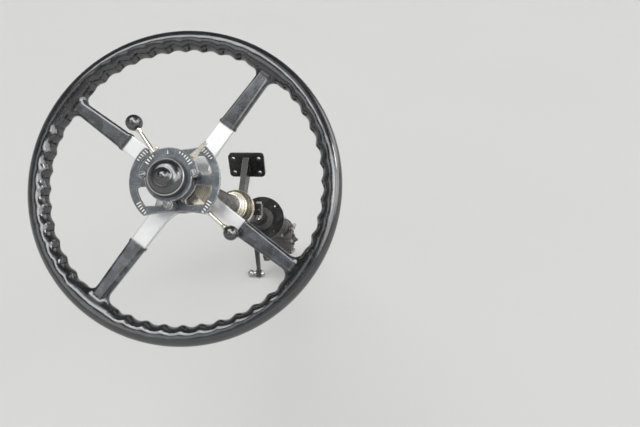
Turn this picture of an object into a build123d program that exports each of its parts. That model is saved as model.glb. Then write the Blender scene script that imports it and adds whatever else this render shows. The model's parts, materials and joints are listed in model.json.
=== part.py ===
from build123d import *
import os
from math import cos, radians, sin

# Steering wheel and column of a 1920s car with left-hand drive, in millimetres.
# +X is the car's right, +Y is forward and +Z is up. The origin is the centre of the bolt circle on the
# steering box's flange face, on the rocker shaft's axis. The flange faces the left chassis rail, at -X.

# Column: its own frame has Z along the axis towards the driver, Y up the wheel's face and X to the right.
RAKE = 38.0                  # slope of the column below the horizontal, degrees
COLUMN_LENGTH = 1040.0       # worm's centre to the plane of the wheel's spokes
COLUMN_OFFSET = 56.0         # flange face to the column's axis
CENTRE_DISTANCE = 46.0       # rocker shaft's axis to the column's axis
TUBE_RADIUS = 19.0
TUBE_WALL = 2.0
SHAFT_RADIUS = 13.0
SHAFT_WALL = 3.0
STATOR_RADIUS = 8.0
STATOR_WALL = 1.6
RUNNING = 0.06               # radial clearance of a turning shaft in its bush
SEAT = 0.05                  # radial clearance of a piece fixed on a shaft or in a socket
FACE_GAP = 1.0               # axial clearance between the turning hub and the ferrule below it
OVERLAP = 2.0                # how far shapes of one piece run into each other

# Bolts of the bracket and of the pinch clamp, all alike
BOLT_RADIUS = 4.0
BOLT_HEAD_RADIUS = 7.5       # over the corners, head and nut
BOLT_HEAD_HEIGHT = 5.5
BOLT_NUT_HEIGHT = 6.5
BOLT_TAIL = 2.5              # thread beyond the nut

# Wheel
WHEEL_DIAMETER = 457.2
RIM_THICKNESS = 30.0
WHEEL_TURN = 9.5             # anticlockwise turn of the spokes off the upright cross, degrees
SPOKE_ANGLES = [45, 135, 225, 315]
SPOKE_ROOT_WIDTH = 27.0
SPOKE_WIDTH = 24.4
SPOKE_THICKNESS = 6.0
SPOKE_ROOT_DEPTH = 12.0
SLEEVE_START = 105.0         # radius of the mouth of each moulded sleeve
SLEEVE_WIDTH = 26.0
SLEEVE_DEPTH = 12.5
SLEEVE_END_WIDTH = 20.0       # where it would meet the middle of the rim
SLEEVE_END_DEPTH = 15.0
LIP_LENGTH = 4.5
LIP_HEIGHT = 1.0
LIP_ROUND = 0.8
TONGUE_WIDTH = 14.0          # part of the spoke inside its sleeve
TONGUE_THICKNESS = 5.0
TONGUE_CLEARANCE = 0.1
SLEEVE_CORNER = 0.36         # corner radius of a sleeve's section, as a share of its depth
SLEEVE_FILLET = 12.0
GRIP_COUNT = 10              # finger grips between two spokes
GRIP_DEPTH = 3.5
GRIP_SHAPE = [0.0, 0.62, 1.0, 0.62]              # depth of a grip at each quarter of its length, as a share
GRIP_SECTION = [(80, 0.0), (112, 0.22), (146, 0.78), (180, 1.0)]    # share of it round the rim's section
GRIP_EASE = 0.45             # share of that depth where the first and last grips run out
GRIP_START = 7.5             # plain stretch of the rim on each side of a spoke, degrees
RIM_CENTRE = WHEEL_DIAMETER / 2 - RIM_THICKNESS / 2
HUB_RADIUS = 42.0
HUB_TOP = 10.0
HUB_STEP = 1.1               # height of each turned step on the hub's face
HUB_STEP_RADII = [21.0, 25.0, 29.0, 33.0, 37.0]
HUB_BOSS_RADIUS = 24.0
HUB_SIDE = 5.0               # plane of the spokes to the lower edge of the hub's round side
HUB_CHAMFER = 4.0
HUB_CONE_END = 20.0
SPOKE_EDGE = 1.2
FLARE_START = 60.0           # radius inside which a spoke widens towards the hub
FLARE_WIDTH = 5.0
HUB_BOTTOM = -42.0
HUB_NUT_RADIUS = 17.5
HUB_NUT_HEIGHT = 5.0
HUB_NUT_CLEARANCE = 1.5
HUB_NUT_SLOT = 5.0

# Control head, above the wheel's hub
HEAD_CLEARANCE = 5.5         # hub nut to the underside of the head
HEAD_RADIUS = 27.0
HEAD_TURN = 2.2              # anticlockwise turn of both plates off the upright, degrees
HEAD_CHAMFER = 5.0
STATOR_SOCKET = 8.0          # depth of the stator tube's seat in the head
QUADRANT_HEIGHT = 33.0       # underside of the quadrant plate
QUADRANT_THICKNESS = 3.0
QUADRANT_RADIUS = 63.5
QUADRANT_HALF_HEIGHT = 47.0  # corners of the plate above and below the axis
QUADRANT_EDGE_RISE = 4.6     # how far its top and bottom edges arch inwards
WINDOW_OUTER = 52.5
WINDOW_INNER = 30.0
WINDOW_CORNER = 4.0
WINDOW_LOW = 7.0             # half width of the webs at each side of the head
WINDOW_HIGH = 33.5
WEB_HALF = 16.0              # half width of the webs above and below the head
PEEP_HOLE = {"angle": 294.5, "reach": 30.0, "radius": 2.2}
MIXTURE_HEIGHT = 56.0
MIXTURE_THICKNESS = 2.5
MIXTURE_RADIUS = 41.0
MIXTURE_RING_RADIUS = 31.5
PLATE_BEVEL = 0.8
LUGS = [(10, 34.5), (170, 34.5), (270, 35.5)]    # angle and reach of the upper plate's screws
LUG_RADIUS = 6.5
LUG_POST = 5.0               # radius of the post under each lug
LUG_RIB = 6.0                # thickness of the rib from the head to each post
HORN_RING_RADIUS = 24.8
HORN_RING_HEIGHT = 10.0
HORN_RING_FLARE = 1.4        # how much wider the ring is at its foot
HORN_RING_LIP = 0.6
HORN_RADIUS = 23.2
HORN_HEIGHT = 25.0
NIPPLE_RADIUS = 10.0

# Levers of the control head. A knobbed lever has an angle round the axis, an offset to the left of the
# axis, a height above the spokes, a reach to the knob's centre, the knob's radius, and the width and
# the end of its flat root.
THROTTLE = {"angle": 125.5, "offset": 0.0, "height": QUADRANT_HEIGHT + QUADRANT_THICKNESS + 9.5,
            "reach": 95.3, "knob": 11.2, "root": 9.0, "shoulder": 50.0}
IGNITION = {"angle": -41.3, "offset": -1.0, "height": QUADRANT_HEIGHT - 6.5,
            "reach": 104.6, "knob": 10.4, "root": 10.5, "shoulder": 62.0}
ROOT_START = 17.0            # inner end of each lever, inside the head
ROOT_THICKNESS = 4.0
ROOT_ROOM = 0.7              # clearance round a lever's root in the head
ROOT_TAPER = 12.0            # length over which a flat root narrows to its stem
STEM_RADIUS = 3.2
STEM_END_RADIUS = 2.6
LEVER_COLLAR = 4.3           # radius of the flare under a knob
LEVER_COLLAR_FLARE = 6.0
COLLAR_DEPTH = 1.6
KNOB_FLAT = 0.3
STOP_PIN = {"place": 48.0, "side": -6.4, "radius": 1.6, "boss": 3.2, "height": 7.0}
FINGER = {"angle": 47.0, "height": MIXTURE_HEIGHT - 6.5, "reach": 69.0, "width": 8.0, "tip": 4.0}
FINGER_SHOULDER = 44.0

# Trim down the column, as distances from the plane of the spokes
FERRULE_LENGTH = 46.0
FERRULE_STEPS = [(25.5, 0), (27, 2), (27, 8), (25, 9), (25, 16), (23, 17)]      # radius, distance from its top
FERRULE_BUSH = 12.0          # length of the bush round the shaft
COLLAR_TOP = 268.0
COLLAR_RADII = [24.0, 27.0, 30.0, 34.0, 38.0]
COLLAR_STEP = 13.5
COLLAR_BROW = 2.0
BRACKET_PLACE = 380.0
BRACKET_WIDTH = 34.0
BRACKET_RADIUS = 30.0
BRACKET_GAP = 2.0            # gap between the bracket and its cap
BRACKET_GRIP = 0.1
EAR_REACH = 46.0
EAR_HEIGHT = 13.0
EAR_WIDTH = 26.0
BRACKET_BOLT_PLACE = 38.0
FOOT_FORWARD = 105.0
FOOT_RISE = 62.0
FOOT_WIDTH = 84.0
FOOT_HEIGHT = 60.0
FOOT_THICKNESS = 8.0
FOOT_CORNER = 9.0
FOOT_HOLES_ACROSS = 60.0
FOOT_HOLES_UP = 36.0
FOOT_HOLE_RADIUS = 4.3
BRACKET_WEB_THICKNESS = 14.0
BRACKET_WEB_HALF = 14.0      # half of the web's width along the column
BRACKET_WEB_ROOT = 6.0       # tube's skin to the web's inner edge
BRACKET_WEB_INSET = 8.0      # from the foot's top and bottom edges
TOE_PLACE = 640.0
TOE_RADIUS = 62.0
TOE_THICKNESS = 4.0
TOE_BORE = 26.0
TOE_HOLE_CIRCLE = 100.0
TOE_HOLE_RADIUS = 2.8
SEAL_RADIUS = 32.0
SEAL_FLANGE = 4.0
SEAL_FOLDS = [29.0, 27.0, 25.0]
SEAL_FOLD_DEPTH = 3.0
SEAL_FOLD_PITCH = 7.0
SEAL_LIP = 2.5
SEAL_GAP = 0.3

# Steering box
FLANGE_RADIUS = 80.0
FLANGE_THICKNESS = 14.0
BOLT_CIRCLE = 130.0
BOLT_HOLE_RADIUS = 5.3
SPIGOT_RADIUS = 30.0
SPIGOT_LENGTH = 12.0
DRUM_RADIUS = 50.0
DRUM_END = 92.0
CASE_RADIUS = 33.0
CASE_ABOVE = 60.0            # worm case above and below the worm's centre
CASE_BELOW = 52.0
NECK_RADIUS = 25.0
NECK_LENGTH = 36.0
NECK_TAPER = 8.0
TUBE_STOP = 4.0              # end of the column tube, above the case
COVER_THICKNESS = 7.0
COVER_BOSS_RADIUS = 20.0
COVER_BOSS_HEIGHT = 7.0
COVER_LUG_COUNT = 6
COVER_LUG_CIRCLE = 96.0
COVER_LUG_RADIUS = 9.0
COVER_LUG_DEPTH = 16.0
ADJUSTER_RADIUS = 5.0
ADJUSTER_LENGTH = 12.0
ADJUSTER_NUT = 9.5
ADJUSTER_NUT_HEIGHT = 6.0
RIB_THICKNESS = 9.0
RIB_INSET = 8.0              # flange's edge to the ribs
CLAMP_WIDTH = 26.0           # pinch clamp round the column tube at the top of the neck
CLAMP_REACH = 41.0
CLAMP_GAP = 3.0
CLAMP_BOLT_PLACE = 32.5      # column's axis to the bolt
END_CAP_THICKNESS = 9.0
END_CAP_BOSS = 18.0
END_CAP_RADIUS = 36.0
END_CAP_BOSS_RADII = (17.0, 15.0)
PLUG_FOOT = (11.0, 6.0)      # radius over the corners and height
PLUG_HEAD = (9.0, 8.0)       # width and height
PLUG_PLACE = 18.0            # up the column from the worm's centre

# Rocker shaft and drop arm
ROCKER_RADIUS = 16.0
ROCKER_DEPTH = 70.0
ROCKER_THREAD_TAIL = 4.0
ARM_FACE = 22.0              # flange face to the drop arm's boss
ARM_SEAT_RADIUS = 14.0
ARM_BOSS_RADIUS = 25.0
ARM_BOSS_WIDTH = 28.0
ARM_LENGTH = 165.0
ARM_EYE_RADIUS = 14.0
ARM_EYE_WIDTH = 20.0
ARM_WEB = 14.0
ARM_TIP_WEB = 11.0
ARM_ROOT_WIDTH = 44.0
ARM_TIP_WIDTH = 24.0
ARM_EDGE = 4.0
THREAD_RADIUS = 10.0
ROCKER_NUT_RADIUS = 17.0
ROCKER_NUT_WIDTH = 13.0
ROCKER_WASHER_RADIUS = 19.0
ROCKER_WASHER = 3.0
BALL_RADIUS = 12.7
BALL_REACH = 20.0            # arm's outer face to the ball's centre
BALL_NECK_RADIUS = 8.0
BALL_COLLAR_RADIUS = 11.0
BALL_COLLAR = 3.0
BALL_NUT_RADIUS = 12.0
BALL_NUT_HEIGHT = 9.0

# Relay levers on the lower ends of the control tubes
RELAY_GAP = 6.0
RELAY_PITCH = 17.0
RELAY_WIDTH = 9.0
RELAY_ARM = 40.0
RELAY_ARM_WIDTHS = (14.0, 10.0)
RELAY_ARM_THICKNESS = 5.0
RELAY_BOSS_WALL = 5.0
RELAY_EYE_RADIUS = 7.0
RELAY_HOLE_RADIUS = 3.1

CENTRE = Align.CENTER
BASE = (Align.CENTER, Align.CENTER, Align.MIN)
WORM = Vector(COLUMN_OFFSET, CENTRE_DISTANCE * sin(radians(RAKE)), CENTRE_DISTANCE * cos(radians(RAKE)))
DOWN = Vector(0, cos(radians(RAKE)), -sin(radians(RAKE)))
FACE_UP = Vector(0, sin(radians(RAKE)), cos(radians(RAKE)))
WHEEL_CENTRE = WORM - DOWN * COLUMN_LENGTH
COLUMN = Location(tuple(WHEEL_CENTRE), (90 - RAKE, 0, 0))
ACROSS = Location((0, 0, 0), (0, 90, 0))


def polar(radius, angle):
    return (radius * cos(radians(angle)), radius * sin(radians(angle)))


def disc(radius, low, high):
    return Pos(0, 0, low) * Cylinder(radius, high - low, align=BASE)


def ring(outer, inner, low, high):
    return disc(outer, low, high) - disc(inner, low, high)


def turned(outline):
    # Solid of revolution about Z from points given as (radius, height)
    return revolve(make_face(Plane.XZ * Polyline(*outline, close=True)), Axis.Z)


def sector(outer, inner, start, end):
    # Face between two radii and two angles
    middle = (start + end) / 2
    outline = [
        ThreePointArc(polar(outer, start), polar(outer, middle), polar(outer, end)),
        Line(polar(outer, end), polar(inner, end)),
        ThreePointArc(polar(inner, end), polar(inner, middle), polar(inner, start)),
        Line(polar(inner, start), polar(outer, start)),
    ]
    return make_face(outline)


def hex_bolt(grip):
    # Bolt along Z, with its head above the gripped pieces and its nut below them
    shank = disc(BOLT_RADIUS, -grip / 2 - BOLT_NUT_HEIGHT - BOLT_TAIL, grip / 2)
    head = Pos(0, 0, grip / 2) * extrude(RegularPolygon(BOLT_HEAD_RADIUS, 6), BOLT_HEAD_HEIGHT)
    nut = Pos(0, 0, -grip / 2) * extrude(RegularPolygon(BOLT_HEAD_RADIUS, 6), -BOLT_NUT_HEIGHT)
    return shank + head + nut


def across(radius, start, end):
    # Round bar along X between two places, on the rocker shaft's axis
    return Pos(start, 0, 0) * (ACROSS * Cylinder(radius, end - start, align=BASE))


def rim_station(angle, share):
    # Section of the rim: round outside, hollowed inside by a share of the finger grips' depth
    side = polar(1, angle)
    centre = polar(RIM_CENTRE, angle)
    station = Plane(origin=(centre[0], centre[1], 0), x_dir=(side[0], side[1], 0), z_dir=(side[1], -side[0], 0))
    radius = RIM_THICKNESS / 2
    upper = [polar(radius - GRIP_DEPTH * share * part, turn) for turn, part in GRIP_SECTION]
    inside = upper + [(x, -y) for x, y in reversed(upper[:-1])]
    slope = polar(1, GRIP_SECTION[0][0])
    hollow = Spline(inside, tangents=[(-slope[1], slope[0]), (slope[1], slope[0])])
    return station * make_face([ThreePointArc(inside[-1], (radius, 0), inside[0]), hollow])


def sleeve_station(place, width, depth):
    station = Plane(origin=(place, 0, 0), x_dir=(0, 1, 0), z_dir=(1, 0, 0))
    return station * RectangleRounded(width, depth, SLEEVE_CORNER * depth)


def rim_root():
    # Plain stretch of the rim at one spoke, and the moulded sleeve that swells out of it along the spoke
    stretch = revolve(rim_station(-GRIP_START, 0), Axis.Z, 2 * GRIP_START)
    sleeve = loft([
        sleeve_station(SLEEVE_START, SLEEVE_WIDTH, SLEEVE_DEPTH),
        sleeve_station(RIM_CENTRE, SLEEVE_END_WIDTH, SLEEVE_END_DEPTH),
    ])
    body = stretch + sleeve
    seam = []
    for edge in body.edges():
        extent = edge.bounding_box()
        if extent.max.X < RIM_CENTRE - OVERLAP and extent.min.X > RIM_CENTRE - RIM_THICKNESS:
            seam.append(edge)
    body = fillet(seam, SLEEVE_FILLET)
    lip = sleeve_station(SLEEVE_START, SLEEVE_WIDTH + 2 * LIP_HEIGHT, SLEEVE_DEPTH + 2 * LIP_HEIGHT)
    lip = extrude(lip, LIP_LENGTH, dir=(1, 0, 0))
    body += fillet(lip.edges() - lip.edges().filter_by(Axis.X), LIP_ROUND)
    slot_end = RIM_CENTRE - RIM_THICKNESS / 2 + TONGUE_CLEARANCE
    slot = Pos(SLEEVE_START, 0, 0) * Box(
        slot_end - SLEEVE_START,
        TONGUE_WIDTH + 2 * TONGUE_CLEARANCE,
        TONGUE_THICKNESS + 2 * TONGUE_CLEARANCE,
        align=(Align.MIN, CENTRE, CENTRE))
    return body - slot


def grip_run():
    # Run of finger grips between two spokes, with round crests between wide hollows
    quarter = (90 - 2 * GRIP_START) / GRIP_COUNT / len(GRIP_SHAPE)
    last = GRIP_COUNT * len(GRIP_SHAPE)
    sections = []
    for step in range(last + 1):
        share = GRIP_SHAPE[step % len(GRIP_SHAPE)]
        if step in (1, last - 1):
            share *= GRIP_EASE
        sections.append(rim_station(GRIP_START + step * quarter, share))
    return loft(sections)


def wheel_rim():
    # One quarter is a root with its sleeve and a run of finger grips; the rim is four of them
    quarter = rim_root() + grip_run()
    body = Rot(0, 0, SPOKE_ANGLES[0] + WHEEL_TURN) * quarter
    for angle in SPOKE_ANGLES[1:]:
        body += Rot(0, 0, angle + WHEEL_TURN) * quarter
    return body


def spoke():
    # Flat bar that thins from the flared hub end to the sleeve, then a tongue inside the sleeve
    inner = HUB_RADIUS - 2 * OVERLAP
    share = (FLARE_START - inner) / (SLEEVE_START - inner)
    start = (FLARE_START, (SPOKE_ROOT_WIDTH + (SPOKE_WIDTH - SPOKE_ROOT_WIDTH) * share) / 2)
    mouth = (SLEEVE_START, SPOKE_WIDTH / 2)
    wide = (inner, SPOKE_ROOT_WIDTH / 2 + FLARE_WIDTH)
    flare = TangentArc([start, wide], tangent=(start[0] - mouth[0], start[1] - mouth[1]))
    half = make_face(Line(mouth, start) + flare + Polyline(wide, (inner, 0), (SLEEVE_START, 0), mouth))
    plan = half + mirror(half, Plane.XZ)
    top = SPOKE_THICKNESS / 2
    side = make_face(Plane.XZ * Polyline(
        (inner, top),
        (SLEEVE_START, top),
        (SLEEVE_START, top - SPOKE_THICKNESS),
        (inner, top - SPOKE_ROOT_DEPTH),
        close=True,
    ))
    bar = extrude(plan, SPOKE_ROOT_DEPTH, both=True) & extrude(side, 2 * SPOKE_ROOT_WIDTH, both=True)
    long_edges = [edge for edge in bar.edges() if edge.bounding_box().size.X > 4 * SPOKE_EDGE]
    bar = fillet(long_edges, SPOKE_EDGE)
    tongue_end = WHEEL_DIAMETER / 2 - RIM_THICKNESS
    tongue = Pos(SLEEVE_START - OVERLAP, 0, 0) * Box(
        tongue_end - SLEEVE_START + OVERLAP, TONGUE_WIDTH, TONGUE_THICKNESS, align=(Align.MIN, CENTRE, CENTRE))
    return bar + tongue


def wheel_spider():
    # Hub turned in steps on its face and drawn in to a boss behind, with four spokes
    outline = [(SHAFT_RADIUS + SEAT, HUB_TOP)]
    height = HUB_TOP
    for radius in HUB_STEP_RADII:
        outline.append((radius, height))
        height -= HUB_STEP
        outline.append((radius, height))
    outline += [
        (HUB_RADIUS, height),
        (HUB_RADIUS, -HUB_SIDE),
        (HUB_RADIUS - HUB_CHAMFER, -HUB_SIDE - HUB_CHAMFER),
        (HUB_BOSS_RADIUS, -HUB_CONE_END),
        (HUB_BOSS_RADIUS, HUB_BOTTOM),
        (SHAFT_RADIUS + SEAT, HUB_BOTTOM),
    ]
    body = turned(outline)
    for angle in SPOKE_ANGLES:
        body += Rot(0, 0, angle + WHEEL_TURN) * spoke()
    return body - disc(SHAFT_RADIUS + SEAT, HUB_BOTTOM, HUB_TOP)


def hub_nut():
    # Round nut with six slots for its spanner
    nut = ring(HUB_NUT_RADIUS, STATOR_RADIUS + HUB_NUT_CLEARANCE, HUB_TOP, HUB_TOP + HUB_NUT_HEIGHT)
    for index in range(6):
        slot = Pos(HUB_NUT_RADIUS, 0, HUB_TOP + HUB_NUT_HEIGHT) * Box(HUB_NUT_SLOT, HUB_NUT_SLOT, HUB_NUT_SLOT)
        nut -= Rot(0, 0, 60 * index) * slot
    return nut


def steering_shaft():
    return ring(SHAFT_RADIUS, SHAFT_RADIUS - SHAFT_WALL, -COLUMN_LENGTH, HUB_TOP)


def stator_tube():
    low = -COLUMN_LENGTH - CASE_BELOW - END_CAP_THICKNESS - END_CAP_BOSS - RELAY_GAP
    head_bottom = HUB_TOP + HUB_NUT_HEIGHT + HEAD_CLEARANCE
    return ring(STATOR_RADIUS, STATOR_RADIUS - STATOR_WALL, low, head_bottom + STATOR_SOCKET)


def control_head():
    # Drum that carries both plates, with a post under each screw of the upper plate
    low = HUB_TOP + HUB_NUT_HEIGHT + HEAD_CLEARANCE
    body = turned([
        (0, low),
        (HEAD_RADIUS - HEAD_CHAMFER, low),
        (HEAD_RADIUS, low + HEAD_CHAMFER),
        (HEAD_RADIUS, MIXTURE_HEIGHT),
        (0, MIXTURE_HEIGHT),
    ])
    floor = QUADRANT_HEIGHT + QUADRANT_THICKNESS
    for angle, reach in LUGS:
        post = Pos(reach, 0, 0) * disc(LUG_POST, floor, MIXTURE_HEIGHT)
        rib = Pos(reach, 0, floor) * Box(
            reach - HEAD_RADIUS / 2, LUG_RIB, MIXTURE_HEIGHT - floor, align=(Align.MAX, CENTRE, Align.MIN))
        body += Rot(0, 0, angle + HEAD_TURN) * (post + rib)
    body -= disc(STATOR_RADIUS + SEAT, low, low + STATOR_SOCKET)
    for lever in [THROTTLE, IGNITION]:
        body -= lever_place(lever) * root_room(lever["root"])
    return body - finger_place() * root_room(FINGER["width"])


def root_room(width):
    # Space for a lever's flat root, from inside the head out past its wall
    return Pos(ROOT_START - ROOT_ROOM, 0, 0) * Box(
        HEAD_RADIUS,
        width + 2 * ROOT_ROOM,
        ROOT_THICKNESS + 2 * ROOT_ROOM,
        align=(Align.MIN, CENTRE, CENTRE))


def plate_window(side, up):
    # Opening between the head and the outer band, clear of the webs, in one quarter of the plate
    band = Circle(WINDOW_OUTER) - Circle(WINDOW_INNER)
    limit = Pos(side * WEB_HALF, up * WINDOW_LOW) * Rectangle(
        WINDOW_OUTER, WINDOW_HIGH - WINDOW_LOW,
        align=(Align.MIN if side > 0 else Align.MAX, Align.MIN if up > 0 else Align.MAX))
    opening = extrude(band & limit, QUADRANT_THICKNESS, dir=(0, 0, 1))
    return fillet(opening.edges().filter_by(Axis.Z), WINDOW_CORNER)


def quadrant_plate():
    # Two sectors and the webs between them, cut from one plate with four windows
    corner = (QUADRANT_RADIUS ** 2 - QUADRANT_HALF_HEIGHT ** 2) ** 0.5
    high = QUADRANT_HALF_HEIGHT
    dip = high - QUADRANT_EDGE_RISE
    outline = [
        ThreePointArc((corner, -high), (QUADRANT_RADIUS, 0), (corner, high)),
        ThreePointArc((corner, high), (0, dip), (-corner, high)),
        ThreePointArc((-corner, high), (-QUADRANT_RADIUS, 0), (-corner, -high)),
        ThreePointArc((-corner, -high), (0, -dip), (corner, -high)),
    ]
    plate = extrude(make_face(outline), QUADRANT_THICKNESS, dir=(0, 0, 1))
    for side in [-1, 1]:
        for up in [-1, 1]:
            plate -= plate_window(side, up)
    plate = chamfer(plate.faces().sort_by(Axis.Z)[-1].edges(), PLATE_BEVEL)
    plate -= disc(HEAD_RADIUS + SEAT, 0, QUADRANT_THICKNESS)
    place = polar(PEEP_HOLE["reach"], PEEP_HOLE["angle"])
    plate -= Pos(place[0], place[1], 0) * disc(PEEP_HOLE["radius"], 0, QUADRANT_THICKNESS)
    return Pos(0, 0, QUADRANT_HEIGHT) * Rot(0, 0, HEAD_TURN) * plate


def mixture_plate():
    # Broad sector over a ring, with a lug round each of its three screws
    face = sector(MIXTURE_RADIUS, HORN_RADIUS, LUGS[0][0], LUGS[1][0]) + Circle(MIXTURE_RING_RADIUS)
    for angle, reach in LUGS:
        face += Pos(*polar(reach, angle)) * Circle(LUG_RADIUS)
    plate = extrude(face, MIXTURE_THICKNESS, dir=(0, 0, 1))
    plate = chamfer(plate.faces().sort_by(Axis.Z)[-1].edges(), PLATE_BEVEL)
    plate -= disc(HORN_RADIUS - 4, 0, MIXTURE_THICKNESS)
    return Pos(0, 0, MIXTURE_HEIGHT) * Rot(0, 0, HEAD_TURN) * plate


def horn_ring():
    # Flared collar round the horn push, with a thin lip
    low = MIXTURE_HEIGHT + MIXTURE_THICKNESS
    high = low + HORN_RING_HEIGHT
    return turned([
        (HORN_RADIUS + SEAT, low),
        (HORN_RING_RADIUS + HORN_RING_FLARE, low),
        (HORN_RING_RADIUS, high - HORN_RING_LIP),
        (HORN_RING_RADIUS - HORN_RING_LIP, high),
        (HORN_RADIUS + SEAT, high),
    ])


def horn_push():
    # Dome whose shoulder sweeps up into a round button
    low = MIXTURE_HEIGHT + MIXTURE_THICKNESS
    high = low + HORN_HEIGHT
    rim = low + HORN_RING_HEIGHT - 1
    waist = (NIPPLE_RADIUS + 2.0, high - 7.0)
    centre_height = high - NIPPLE_RADIUS
    cap = [polar(NIPPLE_RADIUS, angle) for angle in (32, 61, 90)]
    cap = [(place, centre_height + rise) for place, rise in cap]
    throat = ((waist[0] + cap[0][0]) / 2 - 0.35, (waist[1] + cap[0][1]) / 2 - 0.2)
    curve = [
        Line((0, low), (HORN_RADIUS, low)),
        Line((HORN_RADIUS, low), (HORN_RADIUS, rim)),
        ThreePointArc((HORN_RADIUS, rim), (HORN_RADIUS - 3.6, rim + 5.4), waist),
        ThreePointArc(waist, throat, cap[0]),
        ThreePointArc(cap[0], cap[1], (0, high)),
        Line((0, high), (0, low)),
    ]
    return revolve(make_face(Plane.XZ * Wire(curve)), Axis.Z)


def lever_stem(lever):
    # Flat root out of the head, then a tapered round stem with a flared collar under the knob
    half = lever["root"] / 2
    shoulder = lever["shoulder"]
    plan = make_face(Polyline(
        (ROOT_START, -half),
        (shoulder - ROOT_TAPER, -half),
        (shoulder, -STEM_RADIUS),
        (shoulder, STEM_RADIUS),
        (shoulder - ROOT_TAPER, half),
        (ROOT_START, half),
        close=True,
    ))
    root = extrude(plan, ROOT_THICKNESS / 2, both=True)
    end = lever["reach"] - lever["knob"]
    stem = Rot(0, 90, 0) * turned([
        (0, shoulder - ROOT_TAPER - OVERLAP),
        (STEM_RADIUS, shoulder),
        (STEM_END_RADIUS, end - LEVER_COLLAR_FLARE),
        (LEVER_COLLAR, end - COLLAR_DEPTH),
        (LEVER_COLLAR, end),
        (0, end),
    ])
    return stem + root


def throttle_lever():
    # The throttle's root also carries a stop pin on a small boss
    half = ROOT_THICKNESS / 2
    pin = disc(STOP_PIN["radius"], -half, STOP_PIN["height"] - half)
    pin += disc(STOP_PIN["boss"], -half, half)
    return lever_stem(THROTTLE) + Pos(STOP_PIN["place"], STOP_PIN["side"], 0) * pin


def lever_place(lever):
    return Rot(0, 0, lever["angle"]) * Pos(0, lever["offset"], lever["height"])


def knob(lever):
    # Ball with a small flat that seats on its lever's collar
    size = 2 * lever["knob"]
    ball = Sphere(lever["knob"]) - Pos(KNOB_FLAT - size, 0, 0) * Box(size, size, size)
    return Pos(lever["reach"], 0, 0) * ball


def finger_place():
    return Rot(0, 0, FINGER["angle"]) * Pos(0, 0, FINGER["height"])


def mixture_lever():
    # Plain finger with bevelled edges, tapered in plan from the head to its round tip
    wide = FINGER["width"] / 2
    tip = FINGER["tip"] / 2
    centre = FINGER["reach"] - tip
    plan = make_face([
        Polyline((centre, -tip), (FINGER_SHOULDER, -wide), (ROOT_START, -wide), (ROOT_START, wide),
                 (FINGER_SHOULDER, wide), (centre, tip)),
        ThreePointArc((centre, tip), (FINGER["reach"], 0), (centre, -tip)),
    ])
    bar = extrude(plan, ROOT_THICKNESS / 2, both=True)
    bar = chamfer(bar.faces().sort_by(Axis.Z)[-1].edges(), PLATE_BEVEL)
    return finger_place() * bar


def upper_ferrule():
    # Bush over the top of the column tube, turned in steps
    top = HUB_BOTTOM - FACE_GAP
    low = top - FERRULE_LENGTH
    outline = [(SHAFT_RADIUS + RUNNING, top)]
    outline += [(radius, top - place) for radius, place in FERRULE_STEPS]
    outline += [
        (FERRULE_STEPS[-1][0], low),
        (TUBE_RADIUS + SEAT, low),
        (TUBE_RADIUS + SEAT, top - FERRULE_BUSH),
        (SHAFT_RADIUS + RUNNING, top - FERRULE_BUSH),
    ]
    return turned(outline)


def column_tube():
    high = HUB_BOTTOM - FACE_GAP - FERRULE_BUSH
    low = -COLUMN_LENGTH + CASE_ABOVE + TUBE_STOP
    return ring(TUBE_RADIUS, TUBE_RADIUS - TUBE_WALL, low, high)


def stepped_collar():
    # Turned cup that widens down the column in steps, each with a rounded brow
    outline = [(TUBE_RADIUS + SEAT, -COLLAR_TOP)]
    height = -COLLAR_TOP
    brows = []
    for radius in COLLAR_RADII:
        outline.append((radius, height))
        brows.append((radius, height))
        height -= COLLAR_STEP
        outline.append((radius, height))
    outline.append((TUBE_RADIUS + SEAT, height))
    body = turned(outline)
    edges = []
    for edge in body.edges().filter_by(GeomType.CIRCLE):
        for radius, place in brows:
            if abs(edge.radius - radius) < 0.01 and abs(edge.center().Z - place) < 0.01:
                edges.append(edge)
    return fillet(edges, COLLAR_BROW)


def bracket_centre():
    return WHEEL_CENTRE + DOWN * BRACKET_PLACE


def clamp_half(sign):
    # Half shell round the tube with an ear on each side, on the +Y side of the tube where sign is 1
    shell = extrude(make_face([
        ThreePointArc((BRACKET_RADIUS, 0), (0, BRACKET_RADIUS), (-BRACKET_RADIUS, 0)),
        Line((-BRACKET_RADIUS, 0), (BRACKET_RADIUS, 0)),
    ]), BRACKET_WIDTH / 2, both=True)
    ears = Pos(0, EAR_HEIGHT / 2, 0) * Box(2 * EAR_REACH, EAR_HEIGHT, EAR_WIDTH)
    body = shell + ears
    body -= disc(TUBE_RADIUS + BRACKET_GRIP, -BRACKET_WIDTH, BRACKET_WIDTH)
    body -= Box(2 * EAR_REACH, BRACKET_GAP, BRACKET_WIDTH)
    for side in [-1, 1]:
        hole = Rot(90, 0, 0) * Cylinder(BOLT_RADIUS + SEAT, 4 * EAR_HEIGHT)
        body -= Pos(side * BRACKET_BOLT_PLACE, 0, 0) * hole
    if sign < 0:
        body = mirror(body, Plane.XZ)
    return Location(tuple(bracket_centre()), (90 - RAKE, 0, 0)) * body


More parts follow.
